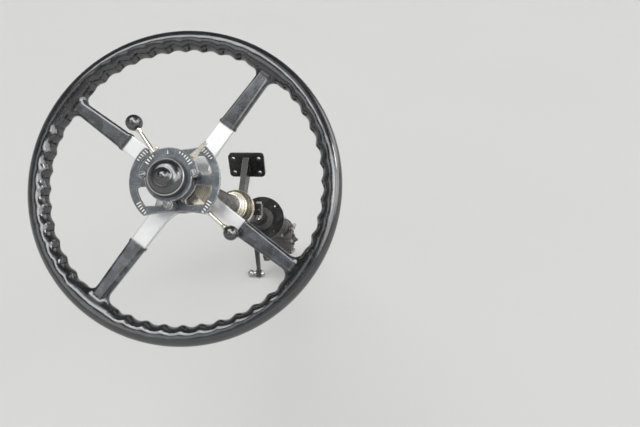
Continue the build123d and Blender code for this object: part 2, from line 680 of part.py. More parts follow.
def column_bracket():
    # Upper half of the clamp, with a web out to the foot that bolts to the bulkhead
    body = clamp_half(1)
    middle = bracket_centre()
    face = middle.Y + FOOT_FORWARD
    back = face - FOOT_THICKNESS
    centre_height = middle.Z + FOOT_RISE
    near = middle + FACE_UP * (TUBE_RADIUS + BRACKET_WEB_ROOT)
    low = centre_height - FOOT_HEIGHT / 2 + BRACKET_WEB_INSET
    high = centre_height + FOOT_HEIGHT / 2 - BRACKET_WEB_INSET
    web = make_face(Plane.YZ * Polyline(
        ((near - DOWN * BRACKET_WEB_HALF).Y, (near - DOWN * BRACKET_WEB_HALF).Z),
        ((near + DOWN * BRACKET_WEB_HALF).Y, (near + DOWN * BRACKET_WEB_HALF).Z),
        (back + OVERLAP, low),
        (back + OVERLAP, high),
        close=True,
    ))
    body += Pos(middle.X, 0, 0) * extrude(web, BRACKET_WEB_THICKNESS / 2, both=True)
    foot = Rot(90, 0, 0) * extrude(RectangleRounded(FOOT_WIDTH, FOOT_HEIGHT, FOOT_CORNER), FOOT_THICKNESS)
    body += Pos(middle.X, face, centre_height) * foot
    for side in [-1, 1]:
        for up in [-1, 1]:
            hole = Rot(90, 0, 0) * Cylinder(FOOT_HOLE_RADIUS, 4 * FOOT_THICKNESS)
            place = (middle.X + side * FOOT_HOLES_ACROSS / 2, face, centre_height + up * FOOT_HOLES_UP / 2)
            body -= Pos(*place) * hole
    return body


def bracket_bolts():
    # Two bolts through the clamp's ears, heads on the bracket's side
    bolts = []
    for side in [-1, 1]:
        bolts.append(Pos(side * BRACKET_BOLT_PLACE, 0, 0) * Rot(-90, 0, 0) * hex_bolt(2 * EAR_HEIGHT))
    return Location(tuple(bracket_centre()), (90 - RAKE, 0, 0)) * Compound(bolts)


def toe_plate():
    # Round plate that holds the rubber cuff down on the toe board
    high = -TOE_PLACE
    plate = ring(TOE_RADIUS, TOE_BORE, high - TOE_THICKNESS, high)
    for index in range(4):
        place = polar(TOE_HOLE_CIRCLE / 2, 45 + 90 * index)
        plate -= Pos(place[0], place[1], 0) * disc(TOE_HOLE_RADIUS, high - TOE_THICKNESS, high)
    return plate


def toe_seal():
    # Rubber cuff gripped by the toe plate, with three folds up the tube
    high = -TOE_PLACE + SEAL_FLANGE
    inner = TUBE_RADIUS + SEAL_GAP
    outline = [(inner, -TOE_PLACE), (SEAL_RADIUS, -TOE_PLACE), (SEAL_RADIUS, high)]
    for radius in SEAL_FOLDS:
        outline.append((radius - SEAL_FOLD_DEPTH, high + SEAL_FOLD_DEPTH))
        outline.append((radius, high + 2 * SEAL_FOLD_DEPTH))
        high += SEAL_FOLD_PITCH
    outline.append((inner + SEAL_LIP, high + SEAL_LIP))
    outline.append((inner, high + SEAL_LIP))
    return turned(outline)


def cover_lugs(radius, start, end):
    lugs = None
    for index in range(COVER_LUG_COUNT):
        place = polar(COVER_LUG_CIRCLE / 2, 360 / COVER_LUG_COUNT * (index + 0.5))
        lug = Pos(0, place[0], place[1]) * across(radius, start, end)
        lugs = lug if lugs is None else lugs + lug
    return lugs


def flange_ribs():
    # Triangular ribs from the flange to the drum, between the bolt holes
    rib = make_face(Polyline(
        (FLANGE_THICKNESS, 0),
        (FLANGE_THICKNESS, FLANGE_RADIUS - RIB_INSET),
        (DRUM_END - COVER_LUG_DEPTH, DRUM_RADIUS - OVERLAP),
        (DRUM_END - COVER_LUG_DEPTH, 0),
        close=True,
    ))
    rib = extrude(Plane.XY * rib, RIB_THICKNESS / 2, both=True)
    return Rot(90, 0, 0) * rib + Rot(180, 0, 0) * rib + Rot(-90, 0, 0) * rib


def clamp_place():
    # Middle of the pinch clamp at the top of the neck, on the line of its bolt
    high = -COLUMN_LENGTH + CASE_ABOVE + NECK_LENGTH
    return Pos(0, -CLAMP_BOLT_PLACE, high - CLAMP_WIDTH / 2)


def clamp_bolt():
    return clamp_place() * Rot(0, 90, 0) * hex_bolt(CLAMP_WIDTH)


def steering_box():
    # Drum round the rocker shaft, worm case along the column, flange to the chassis rail
    drum = across(DRUM_RADIUS, 0, DRUM_END)
    flange = across(FLANGE_RADIUS, 0, FLANGE_THICKNESS)
    spigot = across(SPIGOT_RADIUS, -SPIGOT_LENGTH, 0)
    low = -COLUMN_LENGTH - CASE_BELOW
    high = -COLUMN_LENGTH + CASE_ABOVE
    neck_end = high + NECK_LENGTH
    case = COLUMN * turned([
        (0, low),
        (CASE_RADIUS, low),
        (CASE_RADIUS, high),
        (NECK_RADIUS, high + NECK_TAPER),
        (NECK_RADIUS, neck_end),
        (0, neck_end),
    ])
    body = drum + flange + spigot + case + flange_ribs()
    body += cover_lugs(COVER_LUG_RADIUS, DRUM_END - COVER_LUG_DEPTH, DRUM_END)
    ears = Box(CLAMP_WIDTH, CLAMP_REACH, CLAMP_WIDTH, align=(CENTRE, Align.MAX, Align.MAX))
    body += COLUMN * Pos(0, 0, neck_end) * ears
    for index in range(4):
        place = polar(BOLT_CIRCLE / 2, 45 + 90 * index)
        body -= Pos(0, place[0], place[1]) * across(BOLT_HOLE_RADIUS, -1, FLANGE_THICKNESS + 1)
    body -= across(ROCKER_RADIUS + RUNNING, -SPIGOT_LENGTH, ROCKER_DEPTH + 1)
    body -= COLUMN * disc(SHAFT_RADIUS + RUNNING, -COLUMN_LENGTH - 1, neck_end)
    body -= COLUMN * disc(TUBE_RADIUS + SEAT, high + TUBE_STOP, neck_end)
    body -= COLUMN * disc(STATOR_RADIUS + SEAT, low, -COLUMN_LENGTH)
    slit = Pos(0, 0, neck_end) * Box(
        CLAMP_GAP, CLAMP_REACH, CLAMP_WIDTH, align=(CENTRE, Align.MAX, Align.MAX))
    hole = clamp_place() * Rot(0, 90, 0) * Cylinder(BOLT_RADIUS + SEAT, 2 * CLAMP_WIDTH)
    return body - COLUMN * slit - COLUMN * hole


def box_side_cover():
    # Cover with a lug over each of the drum's, and the adjusting screw with its lock nut
    boss_end = DRUM_END + COVER_THICKNESS + COVER_BOSS_HEIGHT
    body = across(DRUM_RADIUS, DRUM_END, DRUM_END + COVER_THICKNESS)
    body += cover_lugs(COVER_LUG_RADIUS, DRUM_END, DRUM_END + COVER_THICKNESS)
    body += across(COVER_BOSS_RADIUS, DRUM_END, boss_end)
    body += Pos(boss_end, 0, 0) * ACROSS * extrude(RegularPolygon(ADJUSTER_NUT, 6), ADJUSTER_NUT_HEIGHT)
    return body + across(ADJUSTER_RADIUS, boss_end, boss_end + ADJUSTER_LENGTH)


def box_end_cap():
    high = -COLUMN_LENGTH - CASE_BELOW
    low = high - END_CAP_THICKNESS
    return COLUMN * turned([
        (STATOR_RADIUS + SEAT, high),
        (END_CAP_RADIUS, high),
        (END_CAP_RADIUS, low),
        (END_CAP_BOSS_RADII[0], low),
        (END_CAP_BOSS_RADII[1], low - END_CAP_BOSS),
        (STATOR_RADIUS + SEAT, low - END_CAP_BOSS),
    ])


def oil_plug():
    # Square-headed filler plug that stands on top of the worm case
    foot_radius, foot_height = PLUG_FOOT
    width, height = PLUG_HEAD
    foot = extrude(RegularPolygon(foot_radius, 6), foot_height)
    head = Pos(0, 0, foot_height) * Box(width, width, height, align=BASE)
    place = WORM + FACE_UP * CASE_RADIUS - DOWN * PLUG_PLACE
    seat = Location(tuple(place), (-RAKE, 0, 0))
    plug = seat * (Pos(0, 0, -foot_height) * (foot + head))
    return plug - COLUMN * disc(CASE_RADIUS, -COLUMN_LENGTH - CASE_BELOW, -COLUMN_LENGTH + CASE_ABOVE)


def relay_low():
    return -COLUMN_LENGTH - CASE_BELOW - END_CAP_THICKNESS - END_CAP_BOSS - RELAY_GAP


# Control tubes of throttle, ignition and mixture, outermost first, with the angle of the lever on each
RELAYS = [
    {"tube_radius": 6.3, "angle": 20.0},
    {"tube_radius": 4.8, "angle": 95.0},
    {"tube_radius": 3.3, "angle": 160.0},
]


def relay_tubes():
    # Ends of the three nested control tubes, each one longer than the one round it
    body = None
    for index, relay in enumerate(RELAYS):
        low = relay_low() - (index + 1) * RELAY_PITCH
        step = disc(relay["tube_radius"], low, relay_low())
        body = step if body is None else body + step
    return COLUMN * body


def relay_lever(index):
    # Boss clamped on its tube, with a tapered arm out to a drilled eye
    relay = RELAYS[index]
    high = relay_low() - index * RELAY_PITCH - (RELAY_PITCH - RELAY_WIDTH)
    low = high - RELAY_WIDTH
    middle = (high + low) / 2
    wide = RELAY_ARM_WIDTHS[0] / 2
    narrow = RELAY_ARM_WIDTHS[1] / 2
    half = RELAY_ARM_THICKNESS / 2
    arm = make_face(Polyline((0, -wide), (RELAY_ARM, -narrow), (RELAY_ARM, narrow), (0, wide), close=True))
    body = disc(relay["tube_radius"] + RELAY_BOSS_WALL, low, high)
    body += Pos(0, 0, middle) * extrude(arm, half, both=True)
    body += Pos(RELAY_ARM, 0, 0) * disc(RELAY_EYE_RADIUS, middle - half, middle + half)
    body -= Pos(RELAY_ARM, 0, 0) * disc(RELAY_HOLE_RADIUS, low, high)
    body -= disc(relay["tube_radius"] + SEAT, low, high)
    return COLUMN * Rot(0, 0, relay["angle"]) * body


def rocker_shaft():
    seat_end = -ARM_FACE - ARM_BOSS_WIDTH
    body = across(ROCKER_RADIUS, -ARM_FACE, ROCKER_DEPTH)
    body += across(ARM_SEAT_RADIUS, seat_end, -ARM_FACE)
    body += across(THREAD_RADIUS, seat_end - ROCKER_NUT_WIDTH - ROCKER_THREAD_TAIL, seat_end)
    return body


def drop_arm():
    # Forged arm with rounded edges, tapered from the boss on the rocker shaft down to the ball's eye
    outer = -ARM_FACE - ARM_BOSS_WIDTH
    boss = across(ARM_BOSS_RADIUS, outer, -ARM_FACE)
    eye = Pos(0, 0, -ARM_LENGTH) * across(ARM_EYE_RADIUS, outer, outer + ARM_EYE_WIDTH)
    blade = loft([
        Pos(outer + ARM_BOSS_WIDTH / 2, 0, 0) * RectangleRounded(ARM_WEB, ARM_ROOT_WIDTH, ARM_EDGE),
        Pos(outer + ARM_EYE_WIDTH / 2, 0, -ARM_LENGTH) * RectangleRounded(ARM_TIP_WEB, ARM_TIP_WIDTH, ARM_EDGE),
    ])
    body = boss + eye + blade
    body -= across(ARM_SEAT_RADIUS + SEAT, outer, -ARM_FACE)
    body -= Pos(0, 0, -ARM_LENGTH) * across(BALL_NECK_RADIUS + SEAT, outer, outer + ARM_EYE_WIDTH)
    return body


def drop_arm_ball():
    outer = -ARM_FACE - ARM_BOSS_WIDTH
    inner = outer + ARM_EYE_WIDTH
    body = across(BALL_NECK_RADIUS, outer - BALL_REACH, inner)
    body += Pos(outer - BALL_REACH, 0, 0) * Sphere(BALL_RADIUS)
    body += across(BALL_COLLAR_RADIUS, outer - BALL_COLLAR, outer)
    body += Pos(inner, 0, 0) * ACROSS * extrude(RegularPolygon(BALL_NUT_RADIUS, 6), BALL_NUT_HEIGHT)
    return Pos(0, 0, -ARM_LENGTH) * body


def rocker_nut():
    seat_end = -ARM_FACE - ARM_BOSS_WIDTH
    nut_end = seat_end - ROCKER_WASHER
    washer = across(ROCKER_WASHER_RADIUS, nut_end, seat_end)
    nut = Pos(nut_end, 0, 0) * ACROSS * extrude(RegularPolygon(ROCKER_NUT_RADIUS, 6), -ROCKER_NUT_WIDTH)
    return washer + nut - across(THREAD_RADIUS + SEAT, nut_end - ROCKER_NUT_WIDTH, seat_end)


NODES = {
    "wheel_rim": COLUMN * wheel_rim(),
    "wheel_spider": COLUMN * wheel_spider(),
    "hub_nut": COLUMN * hub_nut(),
    "steering_shaft": COLUMN * steering_shaft(),
    "stator_tube": COLUMN * stator_tube(),
    "control_head": COLUMN * control_head(),
    "quadrant_plate": COLUMN * quadrant_plate(),
    "mixture_plate": COLUMN * mixture_plate(),
    "horn_ring": COLUMN * horn_ring(),
    "horn_push": COLUMN * horn_push(),
    "throttle_lever": COLUMN * lever_place(THROTTLE) * throttle_lever(),
    "throttle_knob": COLUMN * lever_place(THROTTLE) * knob(THROTTLE),
    "ignition_lever": COLUMN * lever_place(IGNITION) * lever_stem(IGNITION),
    "ignition_knob": COLUMN * lever_place(IGNITION) * knob(IGNITION),
    "mixture_lever": COLUMN * mixture_lever(),
    "upper_ferrule": COLUMN * upper_ferrule(),
    "column_tube": COLUMN * column_tube(),
    "stepped_collar": COLUMN * stepped_collar(),
    "column_bracket": column_bracket(),
    "bracket_cap": clamp_half(-1),
    "bracket_bolts": bracket_bolts(),
    "toe_plate": COLUMN * toe_plate(),
    "toe_seal": COLUMN * toe_seal(),
    "steering_box": steering_box(),
    "clamp_bolt": COLUMN * clamp_bolt(),
    "box_side_cover": box_side_cover(),
    "box_end_cap": box_end_cap(),
    "oil_plug": oil_plug(),
    "relay_tubes": relay_tubes(),
    "relay_lever_throttle": relay_lever(0),
    "relay_lever_ignition": relay_lever(1),
    "relay_lever_mixture": relay_lever(2),
    "rocker_shaft": rocker_shaft(),
    "drop_arm": drop_arm(),
    "drop_arm_ball": drop_arm_ball(),
    "rocker_nut": rocker_nut(),
}

os.makedirs("parts", exist_ok=True)
for name, shape in NODES.items():
    export_step(shape, f"parts/{name}.step")
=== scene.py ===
import json
from math import cos, pi, radians, sin

import bmesh
import bpy
from mathutils import Matrix, Vector


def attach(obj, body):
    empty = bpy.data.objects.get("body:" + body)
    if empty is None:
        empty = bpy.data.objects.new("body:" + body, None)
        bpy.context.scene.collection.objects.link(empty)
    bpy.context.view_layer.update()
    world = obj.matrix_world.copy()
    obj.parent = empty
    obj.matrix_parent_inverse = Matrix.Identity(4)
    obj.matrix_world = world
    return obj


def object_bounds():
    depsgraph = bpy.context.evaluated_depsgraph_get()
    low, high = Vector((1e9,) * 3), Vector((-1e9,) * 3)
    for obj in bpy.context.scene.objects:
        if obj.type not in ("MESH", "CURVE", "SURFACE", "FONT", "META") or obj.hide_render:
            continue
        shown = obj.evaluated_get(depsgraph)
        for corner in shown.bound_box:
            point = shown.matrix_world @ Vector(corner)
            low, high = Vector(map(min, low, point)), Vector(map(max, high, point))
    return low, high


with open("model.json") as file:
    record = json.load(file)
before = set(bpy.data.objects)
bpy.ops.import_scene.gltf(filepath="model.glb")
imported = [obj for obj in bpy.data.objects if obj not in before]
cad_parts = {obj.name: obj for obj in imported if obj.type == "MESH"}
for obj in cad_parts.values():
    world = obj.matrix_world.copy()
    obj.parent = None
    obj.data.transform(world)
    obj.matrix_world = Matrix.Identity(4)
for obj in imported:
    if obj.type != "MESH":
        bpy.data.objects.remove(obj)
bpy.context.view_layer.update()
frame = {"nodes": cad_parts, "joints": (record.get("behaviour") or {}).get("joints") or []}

MM = 0.001
ORIGIN = Vector((0, 0, 0))
STEER = next(joint for joint in frame["joints"] if joint["name"] == "wheel_turn")
HUB = Vector(STEER["pos_m"])
RIGHT = Vector((1, 0, 0))
AXIS = Vector(STEER["axis"]).normalized()
FACE_UP = AXIS.cross(RIGHT)
# Column frame: Z towards the driver, Y up the wheel's face, X to the right, origin in the plane of the spokes
COLUMN = Matrix.Translation(HUB) @ Matrix((RIGHT, FACE_UP, AXIS)).transposed().to_4x4()


def reach(name, way, start=HUB):
    # Least and greatest distance of a CAD piece from a point along a direction, to a hundredth of a millimetre
    distances = [(vertex.co - start).dot(way) for vertex in frame["nodes"][name].data.vertices]
    return round(min(distances) / MM, 2), round(max(distances) / MM, 2)


# ---------------------------------------------------------------- node trees

def add(tree, kind, settings=None, **sockets):
    # A node with its settings and sockets set. A socket is given by name, with _ for a space, or by number, as
    # in i6, and its value may be a number, a colour or another socket
    node = tree.nodes.new(kind)
    for key, value in (settings or {}).items():
        setattr(node, key, value)
    for key, value in sockets.items():
        place = int(key[1:]) if key[0] == "i" and key[1:].isdigit() else key.replace("_", " ")
        if isinstance(value, bpy.types.NodeSocket):
            tree.links.new(value, node.inputs[place])
        else:
            node.inputs[place].default_value = value
    return node


def calc(tree, operation, first, second=0.0):
    return add(tree, "ShaderNodeMath", {"operation": operation}, i0=first, i1=second).outputs[0]


def scaled(tree, value, factor):
    return calc(tree, "MULTIPLY", value, factor)


def between(tree, value, low, high, start=0.0, end=1.0):
    # Smooth step: start up to low, end from high on
    node = add(tree, "ShaderNodeMapRange", {"interpolation_type": "SMOOTHSTEP"}, Value=value,
               From_Min=low, From_Max=high, To_Min=start, To_Max=end)
    return node.outputs[0]


def spread(tree, mask, start, end):
    # A value that goes from start to end as the mask goes from 0 to 1
    return between(tree, mask, 0.0, 1.0, start, end)


def blend(tree, factor, first, second):
    # First colour at factor 0, second at 1
    node = add(tree, "ShaderNodeMix", {"data_type": "RGBA"}, i0=factor, i6=first, i7=second)
    return node.outputs[2]


def noise(tree, place, scale, detail, roughness):
    node = add(tree, "ShaderNodeTexNoise", Vector=place, Scale=scale, Detail=detail, Roughness=roughness)
    return node.outputs[0]


def dot_product(tree, first, second):
    node = add(tree, "ShaderNodeVectorMath", {"operation": "DOT_PRODUCT"}, i0=first, i1=second)
    return node.outputs["Value"]


def object_place(tree):
    return add(tree, "ShaderNodeTexCoord").outputs["Object"]


# ---------------------------------------------------------------- shared effects

def new_group(name, inputs, outputs):
    # An empty node group with number sockets of these names
    tree = bpy.data.node_groups.new(name, "ShaderNodeTree")
    for title in inputs:
        tree.interface.new_socket(title, in_out="INPUT", socket_type="NodeSocketFloat")
    for title in outputs:
        tree.interface.new_socket(title, in_out="OUTPUT", socket_type="NodeSocketFloat")
    return tree, tree.nodes.new("NodeGroupInput").outputs, tree.nodes.new("NodeGroupOutput").inputs


def make_column_place():
    # Where a point is round the column: its distance from the axis, its angle and its height up the axis
    tree, _, outputs = new_group("column_place", [], ["Radius", "Angle", "Height"])
    offset = add(tree, "ShaderNodeVectorMath", {"operation": "SUBTRACT"}, i0=object_place(tree), i1=HUB).outputs[0]
    x, y, z = [dot_product(tree, offset, direction) for direction in (RIGHT, FACE_UP, AXIS)]
    squares = calc(tree, "ADD", calc(tree, "POWER", x, 2.0), calc(tree, "POWER", y, 2.0))
    tree.links.new(calc(tree, "SQRT", squares), outputs["Radius"])
    tree.links.new(calc(tree, "ARCTAN2", y, x), outputs["Angle"])
    tree.links.new(z, outputs["Height"])
    return tree


def make_edge_mask():
    # Mask of the edges, broken up by noise: rubbed wear on most finishes, with a painted highlight as well on the
    # gunmetal and the ebonite
    tree, inputs, outputs = new_group("edge_mask", ["Width", "Breakup"], ["Mask"])
    rounded = add(tree, "ShaderNodeBevel", {"samples": 6}, Radius=inputs["Width"]).outputs[0]
    flat = add(tree, "ShaderNodeNewGeometry").outputs["Normal"]
    edge = between(tree, dot_product(tree, rounded, flat), 0.985, 0.86)
    rough = noise(tree, object_place(tree), inputs["Breakup"], 5.0, 0.7)
    mask = calc(tree, "MULTIPLY", edge, between(tree, rough, 0.34, 0.54))
    tree.links.new(mask, outputs["Mask"])
    return tree


def make_mottle():
    # Cloudy stains with small hard specks in them
    tree, inputs, outputs = new_group("mottle", ["Scale", "Low", "High"], ["Mask"])
    place = object_place(tree)
    cloud = noise(tree, place, inputs["Scale"], 6.0, 0.62)
    speck = noise(tree, place, scaled(tree, inputs["Scale"], 5.5), 3.0, 0.6)
    both = calc(tree, "ADD", scaled(tree, cloud, 0.68), scaled(tree, speck, 0.32))
    tree.links.new(between(tree, both, inputs["Low"], inputs["High"]), outputs["Mask"])
    return tree


# Three sets of scratches: how the noise is turned, in radians, and how it is squeezed
SCRATCH_SETS = [
    {"turned": (0.3, 0.2, 0.1), "squeezed": (1, 14, 1)},
    {"turned": (1.1, 0.4, 0.9), "squeezed": (14, 1, 1)},
    {"turned": (0.2, 1.3, 2.1), "squeezed": (1, 1, 18)},
]


def make_scratches():
    # Fine scratches in three directions, as a height
    tree, inputs, outputs = new_group("scratches", ["Scale"], ["Height"])
    total = None
    for row in SCRATCH_SETS:
        place = add(tree, "ShaderNodeMapping", Vector=object_place(tree), Rotation=row["turned"],
                    Scale=row["squeezed"]).outputs[0]
        cut = between(tree, noise(tree, place, inputs["Scale"], 2.0, 0.5), 0.66, 0.72)
        total = cut if total is None else calc(tree, "MAXIMUM", total, cut)
    tree.links.new(total, outputs["Height"])
    return tree


def make_crevice():
    # Mask of corners and crevices, from ambient occlusion
    tree, inputs, outputs = new_group("crevice", ["Reach"], ["Mask"])
    open_share = add(tree, "ShaderNodeAmbientOcclusion", {"samples": 6}, Distance=inputs["Reach"]).outputs["AO"]
    tree.links.new(between(tree, open_share, 0.78, 0.4), outputs["Mask"])
    return tree


GROUPS = {
    "column_place": make_column_place(),
    "edge_mask": make_edge_mask(),
    "mottle": make_mottle(),
    "scratches": make_scratches(),
    "crevice": make_crevice(),
}


def use(tree, name, **sockets):
    # The outputs of a shared effect, with its sockets set
    node = tree.nodes.new("ShaderNodeGroup")
    node.node_tree = GROUPS[name]
    for key, value in sockets.items():
        node.inputs[key].default_value = value
    return node.outputs


def new_finish(name, **shader_sockets):
    # A material with one Principled shader; returns the material, its tree and the shader
    material = bpy.data.materials.new(name)
    material.use_nodes = True
    tree = material.node_tree
    tree.nodes.clear()
    shader = add(tree, "ShaderNodeBsdfPrincipled", **shader_sockets)
    output = tree.nodes.new("ShaderNodeOutputMaterial")
    tree.links.new(shader.outputs[0], output.inputs[0])
    return material, tree, shader


def dress(tree, shader, **sockets):
    # Link values to the shader's sockets, named with _ for a space
    for key, value in sockets.items():
        tree.links.new(value, shader.inputs[key.replace("_", " ")])


def relief(tree, shader, height, distance, strength=1.0):
    bump = add(tree, "ShaderNodeBump", Height=height, Distance=distance, Strength=strength)
    tree.links.new(bump.outputs[0], shader.inputs["Normal"])


# ---------------------------------------------------------------- finishes

# Distances from the column's axis, in metres, between which one finish gives way to the next
RIM_START = (0.192, 0.2)            # sleeves to rim
HUB_END = (0.052, 0.055)            # hub's turned face to spokes
TARNISH_START = (0.0285, 0.0305)    # bright to tarnished steps of the collar
TARNISH_END = (0.0372, 0.0376)      # and back to bright

# The hub's sector of painted reflections on its lathe rings: angles round the column, in radians, over which it
# starts and ends
RING_REFLECTION_START = (-1.35, -1.1)
RING_REFLECTION_END = (-0.05, 0.2)

# Bright lip of the horn push's ring: depths under the ring's top, in millimetres, where it starts and is whole
LIP_START = 1.3
LIP_WHOLE = 0.8

HUB_RING_PITCH = 0.0024             # lathe rings, in metres
COLLAR_RING_PITCH = 0.0011
STREAKS_ROUND = 3.0                 # brown streaks of the rim: how tight they are round it, a radian
STREAKS_ACROSS = 420.0              # and across it, a metre


def ebonite():
    # Moulded black rim, polished by hands, with duller slate-grey sleeves along the spokes
    material, tree, shader = new_finish("ebonite_moulding", IOR=1.9)
    place = use(tree, "column_place")
    on_rim = between(tree, place["Radius"], *RIM_START)
    scuffs = between(tree, noise(tree, object_place(tree), 70.0, 3.0, 0.5), 0.4, 0.66)
    stains = between(tree, noise(tree, object_place(tree), 24.0, 3.0, 0.5), 0.42, 0.68)
    scratches = use(tree, "scratches", Scale=260.0)["Height"]
    dulled = calc(tree, "MULTIPLY", scuffs, calc(tree, "SUBTRACT", 1.0, scaled(tree, on_rim, 0.8)))
    grey = blend(tree, dulled, (0.006, 0.0065, 0.008, 1), (0.045, 0.053, 0.064, 1))
    streak_place = add(tree, "ShaderNodeCombineXYZ", X=scaled(tree, place["Angle"], STREAKS_ROUND),
                       Y=scaled(tree, place["Radius"], STREAKS_ACROSS),
                       Z=scaled(tree, place["Height"], STREAKS_ACROSS))
    streaks = between(tree, noise(tree, streak_place.outputs[0], 1.0, 4.0, 0.6), 0.5, 0.74)
    brown = calc(tree, "MULTIPLY", streaks, scaled(tree, on_rim, 0.8))
    colour = blend(tree, brown, grey, (0.03, 0.021, 0.021, 1))
    # Edges lightened to blue-grey: partly rubbed wear, partly a painted highlight along the edges and the sleeves'
    # lips
    worn = use(tree, "edge_mask", Width=0.0012, Breakup=140.0)["Mask"]
    colour = blend(tree, scaled(tree, worn, 0.5), colour, (0.11, 0.12, 0.135, 1))
    rough = spread(tree, on_rim, 0.2, 0.08)
    rough = calc(tree, "ADD", rough, scaled(tree, stains, 0.06))
    rough = calc(tree, "ADD", rough, scaled(tree, scratches, 0.1))
    dress(tree, shader, Base_Color=colour, Roughness=rough)
    relief(tree, shader, calc(tree, "SUBTRACT", scaled(tree, stains, 0.5), scratches), 0.00002)
    return material


def alloy():
    # Polished aluminium with fine scratches and cloudy oxide, and lathe rings on the hub, which in one sector carry
    # painted reflections as light and dark cream stripes
    material, tree, shader = new_finish("polished_alloy", Metallic=1.0)
    place = use(tree, "column_place")
    on_hub = between(tree, place["Radius"], *HUB_END, 1.0, 0.0)
    rings = calc(tree, "SINE", scaled(tree, place["Radius"], 2 * pi / HUB_RING_PITCH))
    clouds = use(tree, "mottle", Scale=34.0, Low=0.4, High=0.72)["Mask"]
    scratches = use(tree, "scratches", Scale=300.0)["Height"]
    in_corners = use(tree, "crevice", Reach=0.008)["Mask"]
    # The one sector of the hub whose lathe rings get painted reflections
    painted_ring_reflections = calc(tree, "MULTIPLY", between(tree, place["Angle"], *RING_REFLECTION_START),
                    between(tree, place["Angle"], *RING_REFLECTION_END, 1.0, 0.0))
    colour = blend(tree, clouds, (0.77, 0.77, 0.765, 1), (0.69, 0.7, 0.71, 1))
    # Painted reflections: light and dark cream stripes along the lathe rings, laid over the hub in that sector
    turned = blend(tree, between(tree, rings, -0.2, 0.9), (0.9, 0.85, 0.72, 1), (0.6, 0.55, 0.44, 1))
    colour = blend(tree, calc(tree, "MULTIPLY", on_hub, painted_ring_reflections), colour, turned)
    # Darker in corners and crevices, by ambient occlusion
    colour = blend(tree, scaled(tree, in_corners, 0.75), colour, (0.2, 0.18, 0.16, 1))
    rough = calc(tree, "ADD", spread(tree, clouds, 0.33, 0.42), scaled(tree, scratches, 0.1))
    dress(tree, shader, Base_Color=colour, Roughness=rough)
    turning = calc(tree, "MULTIPLY", rings, scaled(tree, on_hub, 0.8))
    relief(tree, shader, calc(tree, "SUBTRACT", turning, scratches), 0.000015)
    return material


def gunmetal():
    # Dark plated plates, rubbed bright along their edges, their bevels also lightened as a painted highlight
    material, tree, shader = new_finish("gunmetal_plate", Metallic=0.55)
    clouds = use(tree, "mottle", Scale=70.0, Low=0.42, High=0.7)["Mask"]
    scratches = use(tree, "scratches", Scale=330.0)["Height"]
    # Edge mask for rubbed wear, also used here for a painted highlight on the bevels
    rubbed_and_painted_glint = use(tree, "edge_mask", Width=0.0018, Breakup=160.0)["Mask"]
    worn = calc(tree, "MINIMUM", scaled(tree, rubbed_and_painted_glint, 2.2), 1.0)
    in_corners = use(tree, "crevice", Reach=0.005)["Mask"]
    colour = blend(tree, clouds, (0.08, 0.09, 0.102, 1), (0.19, 0.205, 0.215, 1))
    # Darker in corners and crevices, by ambient occlusion
    colour = blend(tree, scaled(tree, in_corners, 0.8), colour, (0.02, 0.02, 0.02, 1))
    colour = blend(tree, scaled(tree, scratches, 0.35), colour, (0.4, 0.41, 0.42, 1))
    # Edges lightened to pale metal: partly rubbed wear, partly a painted highlight
    colour = blend(tree, worn, colour, (0.66, 0.65, 0.62, 1))
    rough = calc(tree, "SUBTRACT", spread(tree, clouds, 0.4, 0.54), scaled(tree, worn, 0.1))
    dress(tree, shader, Base_Color=colour, Roughness=rough)
    relief(tree, shader, calc(tree, "SUBTRACT", clouds, scratches), 0.000012)
    return material


def rubbed_ring():
    # Dark plated collar of the horn push, its lip rubbed to bright metal
    material, tree, shader = new_finish("rubbed_ring")
    height = use(tree, "column_place")["Height"]
    clouds = use(tree, "mottle", Scale=90.0, Low=0.42, High=0.7)["Mask"]
    scratches = use(tree, "scratches", Scale=330.0)["Height"]
    ring_top = reach("horn_ring", AXIS)[1]
    on_lip = between(tree, height, (ring_top - LIP_START) * MM, (ring_top - LIP_WHOLE) * MM)
    lip = calc(tree, "MULTIPLY", on_lip, spread(tree, clouds, 1.0, 0.75))
    colour = blend(tree, clouds, (0.06, 0.068, 0.08, 1), (0.13, 0.14, 0.155, 1))
    colour = blend(tree, lip, colour, (0.42, 0.42, 0.41, 1))
    dress(tree, shader, Base_Color=colour, Metallic=spread(tree, lip, 0.6, 1.0),
          Roughness=spread(tree, clouds, 0.28, 0.42))
    relief(tree, shader, scaled(tree, scratches, -1.0), 0.00003)
    return material


def nickel():
    # Warm nickel plate of the levers and hub nut
    material, tree, shader = new_finish("warm_nickel", Metallic=1.0)
    clouds = use(tree, "mottle", Scale=120.0, Low=0.45, High=0.72)["Mask"]
    scratches = use(tree, "scratches", Scale=420.0)["Height"]
    in_corners = use(tree, "crevice", Reach=0.003)["Mask"]
    colour = blend(tree, clouds, (0.8, 0.75, 0.66, 1), (0.68, 0.62, 0.51, 1))
    # Darker in corners and crevices, by ambient occlusion
    colour = blend(tree, scaled(tree, in_corners, 0.7), colour, (0.12, 0.09, 0.07, 1))
    rough = calc(tree, "ADD", spread(tree, clouds, 0.2, 0.36), scaled(tree, scratches, 0.12))
    dress(tree, shader, Base_Color=colour, Roughness=rough)
    relief(tree, shader, scaled(tree, scratches, -1.0), 0.00002)
    return material


def dome_black():
    # Glossy black horn push and knobs with hairline scratches
    material, tree, shader = new_finish("gloss_black", IOR=2.1)
    clouds = use(tree, "mottle", Scale=80.0, Low=0.4, High=0.75)["Mask"]
    scratches = use(tree, "scratches", Scale=380.0)["Height"]
    colour = blend(tree, clouds, (0.006, 0.006, 0.007, 1), (0.018, 0.019, 0.022, 1))
    colour = blend(tree, scaled(tree, scratches, 0.2), colour, (0.12, 0.125, 0.135, 1))
    rough = calc(tree, "ADD", spread(tree, clouds, 0.19, 0.25), scaled(tree, scratches, 0.06))
    dress(tree, shader, Base_Color=colour, Roughness=rough)
    relief(tree, shader, scaled(tree, scratches, -1.0), 0.00001)
    return material


